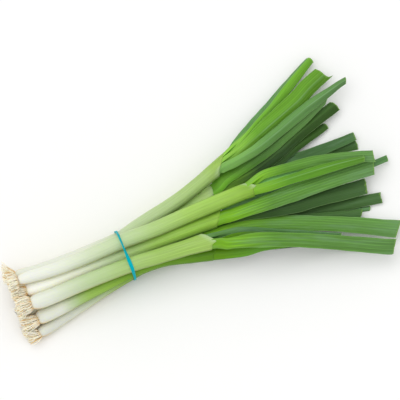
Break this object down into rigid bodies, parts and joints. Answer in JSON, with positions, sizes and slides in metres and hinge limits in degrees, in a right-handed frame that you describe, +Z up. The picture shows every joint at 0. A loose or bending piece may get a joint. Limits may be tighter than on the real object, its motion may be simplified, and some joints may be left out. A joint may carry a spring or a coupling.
{
  "type": "leek bunch",
  "caption": "Bunch of slim young leeks lying on its side, with trimmed roots, pale shanks and cut green leaves, tied round the shanks with a thin elastic band.",
  "frame": {"origin": "on the surface the bunch lies on, under the middle of its bounding box", "axes": "+X along the bunch from the roots to the leaf tips, +Y to its left side, +Z up"},
  "size_m": [0.4058, 0.2196, 0.0509],
  "materials": {
    "shank": "satin",
    "leaf": "satin",
    "roots": "matte",
    "band": "satin"
  },
  "bodies": {
    "root": {"band": "band", "leek_1_leaf_1": "leaf", "leek_1_leaf_2": "leaf", "leek_1_roots": "roots", "leek_1_stem": "shank", "leek_2_leaf_1": "leaf", "leek_2_leaf_2": "leaf", "leek_2_roots": "roots", "leek_2_stem": "shank", "leek_3_leaf_1": "leaf", "leek_3_leaf_2": "leaf", "leek_3_leaf_3": "leaf", "leek_3_leaf_4": "leaf", "leek_3_leaf_5": "leaf", "leek_3_roots": "roots", "leek_3_stem": "shank", "leek_4_leaf_1": "leaf", "leek_4_leaf_2": "leaf", "leek_4_leaf_3": "leaf", "leek_4_leaf_4": "leaf", "leek_4_roots": "roots", "leek_4_stem": "shank", "leek_5_leaf_1": "leaf", "leek_5_leaf_2": "leaf", "leek_5_roots": "roots", "leek_5_stem": "shank", "leek_6_leaf_1": "leaf", "leek_6_leaf_2": "leaf", "leek_6_leaf_3": "leaf", "leek_6_roots": "roots", "leek_6_stem": "shank", "leek_7_leaf_1": "leaf", "leek_7_leaf_2": "leaf", "leek_7_roots": "roots", "leek_7_stem": "shank", "leek_8_leaf_1": "leaf", "leek_8_leaf_2": "leaf", "leek_8_leaf_3": "leaf", "leek_8_roots": "roots", "leek_8_stem": "shank"}
  },
  "joints": []
}
